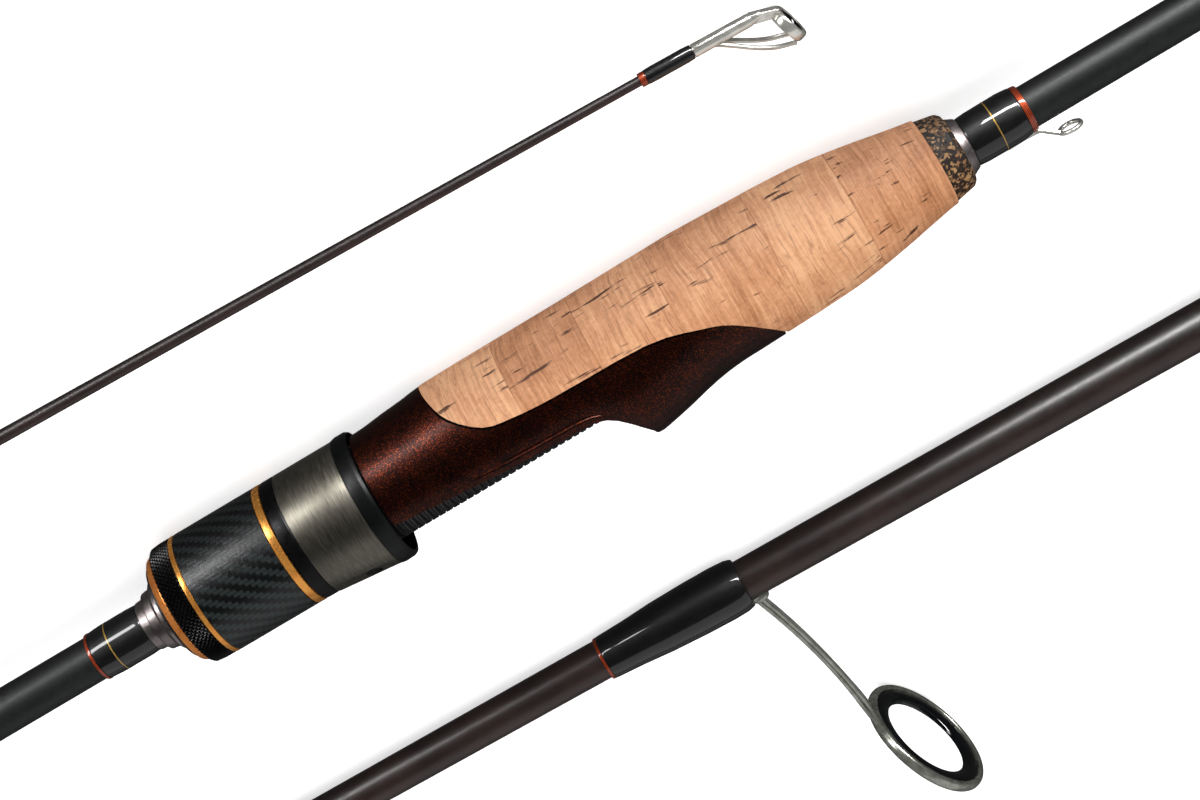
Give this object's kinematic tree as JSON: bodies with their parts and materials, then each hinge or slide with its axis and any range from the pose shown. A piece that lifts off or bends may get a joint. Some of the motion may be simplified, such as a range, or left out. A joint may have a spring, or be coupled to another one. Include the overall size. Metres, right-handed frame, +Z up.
{
  "type": "ice fishing rod",
  "caption": "Three-piece take-down ice fishing rod laid out in its sections, with screw-locking reel seat, cork grips, ring guides and tip-top.",
  "frame": {"origin": "on the surface the sections lie on, under the middle of the layout", "axes": "+X along the rod, from the butt of the handle section to its ferrule spigot; +Z up from the surface"},
  "size_m": [0.473, 0.2066, 0.0298],
  "materials": {
    "blank": "matt black carbon fibre tube",
    "binding": "black thread under clear epoxy",
    "trim": "copper red metallic band",
    "check": "satin gunmetal anodised",
    "copper": "bright copper anodised",
    "gold": "bright gold anodised",
    "knurl": "black anodised, diamond knurl",
    "carbon": "woven carbon under clear coat",
    "nut_black": "black anodised",
    "hood": "circumferentially brushed gunmetal",
    "lip": "satin black moulding",
    "seat_body": "dark root-beer metallic lacquer",
    "seat_barrel": "black moulded thread",
    "cork": "natural cork",
    "burl": "burl cork of dark and tan granules",
    "rubber": "black rubber",
    "steel": "polished stainless",
    "guide_frame": "polished gunmetal",
    "ceramic": "polished black-blue ceramic",
    "arbor": "rigid foam"
  },
  "bodies": {
    "handle_section": {"butt_cap": "rubber", "rear_cork_ring_1": "cork", "rear_cork_ring_2": "cork", "rear_burl_ring": "burl", "rear_grip_check": "check", "handle_blank": "blank", "rear_trim_band": "trim", "rear_binding": "binding", "seat_rear_check": "check", "seat_barrel": "seat_barrel", "rear_arbor": "arbor", "middle_arbor": "arbor", "front_arbor": "arbor", "seat_body": "seat_body", "cork_ring_1": "cork", "cork_ring_2": "cork", "cork_ring_3": "cork", "cork_ring_4": "cork", "cork_ring_5": "cork", "cork_ring_6": "cork", "front_burl_ring": "burl", "front_check": "check", "front_binding": "binding", "front_trim_band": "trim", "hook_keeper": "steel"},
    "hood": {"hood_shell": "hood", "hood_lip": "lip", "hood_pin": "check", "hood_key": "check"},
    "lock_nut": {"nut_core": "copper", "nut_knurled_ring": "knurl", "nut_thin_ring": "gold", "nut_carbon_sleeve": "carbon", "nut_collar_ring": "gold", "nut_front_ring": "nut_black"},
    "middle_section": {"middle_blank": "blank", "middle_ferrule_sleeve": "blank", "middle_ferrule_binding": "binding", "guide_1_frame": "guide_frame", "guide_1_ring": "ceramic", "guide_1_binding": "binding", "guide_1_trim": "trim", "guide_2_frame": "guide_frame", "guide_2_ring": "ceramic", "guide_2_binding": "binding", "guide_2_trim": "trim"},
    "tip_section": {"tip_blank": "blank", "tip_ferrule_sleeve": "blank", "tip_ferrule_binding": "binding", "guide_3_frame": "guide_frame", "guide_3_ring": "ceramic", "guide_3_binding": "binding", "guide_4_frame": "guide_frame", "guide_4_ring": "ceramic", "guide_4_binding": "binding", "tip_top_frame": "steel", "tip_top_ring": "ceramic", "tip_binding": "binding", "tip_trim": "trim"}
  },
  "joints": [
    {"name": "nut_turn", "type": "hinge", "parent": "hood", "child": "lock_nut", "pos_m": [-0.01433, 0.04387, 0.0133], "axis": [1, 0, 0], "range_deg": [0, 1440]},
    {"name": "hood_slide", "type": "slide", "parent": "handle_section", "child": "hood", "axis": [1, 0, 0], "range_m": [0, 0.006]},
    {"name": "middle_lift", "type": "slide", "parent": "handle_section", "child": "middle_section", "axis": [0, 0, 1], "range_m": [0, 0.1]},
    {"name": "tip_lift", "type": "slide", "parent": "handle_section", "child": "tip_section", "axis": [0, 0, 1], "range_m": [0, 0.1]}
  ],
  "couplings": [
    {"joint": "nut_turn", "follows": "hood_slide", "rad_per_m": 4188.8}
  ]
}
